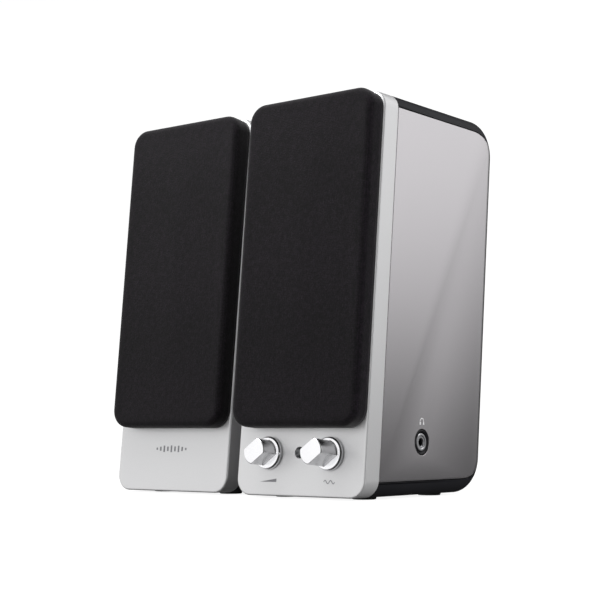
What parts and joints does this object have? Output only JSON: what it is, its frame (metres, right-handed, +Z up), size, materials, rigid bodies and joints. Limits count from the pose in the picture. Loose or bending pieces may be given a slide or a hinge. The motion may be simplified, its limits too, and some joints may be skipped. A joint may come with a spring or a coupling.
{
  "type": "desktop speakers",
  "caption": "Compact desktop stereo speakers: leaning cabinets with cloth grilles, front volume and tone knobs, a power lamp and a side headphone socket.",
  "frame": {"origin": "middle of the base of the bounding box, on the desk", "axes": "+X to the listener's right as the listener faces the speakers, +Y from the fronts to the backs, +Z up"},
  "size_m": [0.1714, 0.1482, 0.2013],
  "materials": {
    "silver_paint": "satin metallic paint",
    "panel_paint": "satin metallic paint",
    "shell_black": "fine texture",
    "black_plastic": "moulded",
    "cloth": "fine knit",
    "rubber": "matt",
    "paper": "matt pressed paper",
    "chrome": "polished",
    "steel": "plain",
    "ferrite": "plain",
    "aluminium": "extruded",
    "board": "lacquered board",
    "lens": "smoked lens"
  },
  "bodies": {
    "active_cabinet": {"active_front_bezel": "silver_paint", "active_cabinet_shell": "shell_black", "active_side_cover_left": "panel_paint", "active_side_cover_right": "panel_paint", "active_baffle": "black_plastic", "active_woofer_basket": "steel", "active_woofer_magnet": "ferrite", "active_woofer_surround": "rubber", "active_tweeter_body": "black_plastic", "active_tweeter_dome": "paper", "active_rear_panel": "black_plastic", "active_port_tube": "black_plastic", "active_foot_front_left": "rubber", "active_foot_front_right": "rubber", "active_foot_rear_left": "rubber", "active_foot_rear_right": "rubber", "volume_control": "black_plastic", "tone_control": "black_plastic", "control_board": "board", "power_lamp": "lens", "headphone_collar": "black_plastic", "headphone_sleeve": "chrome", "headphone_jack": "black_plastic", "line_in_left": "chrome", "line_in_right": "chrome", "speaker_out": "chrome", "power_inlet": "black_plastic", "amplifier_board": "board", "heat_sink": "aluminium", "rear_screw_bottom_left": "steel", "rear_screw_bottom_right": "steel", "rear_screw_top_left": "steel", "rear_screw_top_right": "steel"},
    "satellite_cabinet": {"satellite_front_bezel": "silver_paint", "satellite_cabinet_shell": "shell_black", "satellite_side_cover_left": "panel_paint", "satellite_side_cover_right": "panel_paint", "satellite_baffle": "black_plastic", "satellite_woofer_basket": "steel", "satellite_woofer_magnet": "ferrite", "satellite_woofer_surround": "rubber", "satellite_tweeter_body": "black_plastic", "satellite_tweeter_dome": "paper", "satellite_rear_panel": "black_plastic", "satellite_port_tube": "black_plastic", "satellite_foot_front_left": "rubber", "satellite_foot_front_right": "rubber", "satellite_foot_rear_left": "rubber", "satellite_foot_rear_right": "rubber", "speaker_in": "chrome"},
    "active_grille": {"active_grille_frame": "black_plastic", "active_grille_cloth": "cloth"},
    "satellite_grille": {"satellite_grille_frame": "black_plastic", "satellite_grille_cloth": "cloth"},
    "active_cone": {"active_woofer_cone": "paper"},
    "satellite_cone": {"satellite_woofer_cone": "paper"},
    "volume_knob": {"volume_knob": "silver_paint", "volume_shaft": "steel"},
    "tone_knob": {"tone_knob": "silver_paint", "tone_shaft": "steel"}
  },
  "joints": [
    {"name": "volume_turn", "type": "hinge", "parent": "active_cabinet", "child": "volume_knob", "pos_m": [0.027, -0.06274, 0.0226], "axis": [0, 0.9949, -0.1011], "range_deg": [-200, 100]},
    {"name": "tone_turn", "type": "hinge", "parent": "active_cabinet", "child": "tone_knob", "pos_m": [0.0646, -0.06274, 0.0226], "axis": [0, 0.9949, -0.1011], "range_deg": [-200, 100]},
    {"name": "satellite_place", "type": "slide", "parent": "active_cabinet", "child": "satellite_cabinet", "axis": [1, 0, 0], "range_m": [-0.3, 0.01]},
    {"name": "active_grille_pull", "type": "slide", "parent": "active_cabinet", "child": "active_grille", "axis": [0, -0.9949, 0.1011], "range_m": [0, 0.03]},
    {"name": "active_cone_travel", "type": "slide", "parent": "active_cabinet", "child": "active_cone", "axis": [0, -0.9949, 0.1011], "range_m": [-0.0015, 0.0015], "stiffness_N_per_m": 500, "deforming": ["active_woofer_surround"]},
    {"name": "satellite_grille_pull", "type": "slide", "parent": "satellite_cabinet", "child": "satellite_grille", "axis": [0, -0.9949, 0.1011], "range_m": [0, 0.03]},
    {"name": "satellite_cone_travel", "type": "slide", "parent": "satellite_cabinet", "child": "satellite_cone", "axis": [0, -0.9949, 0.1011], "range_m": [-0.0015, 0.0015], "stiffness_N_per_m": 500, "deforming": ["satellite_woofer_surround"]}
  ]
}
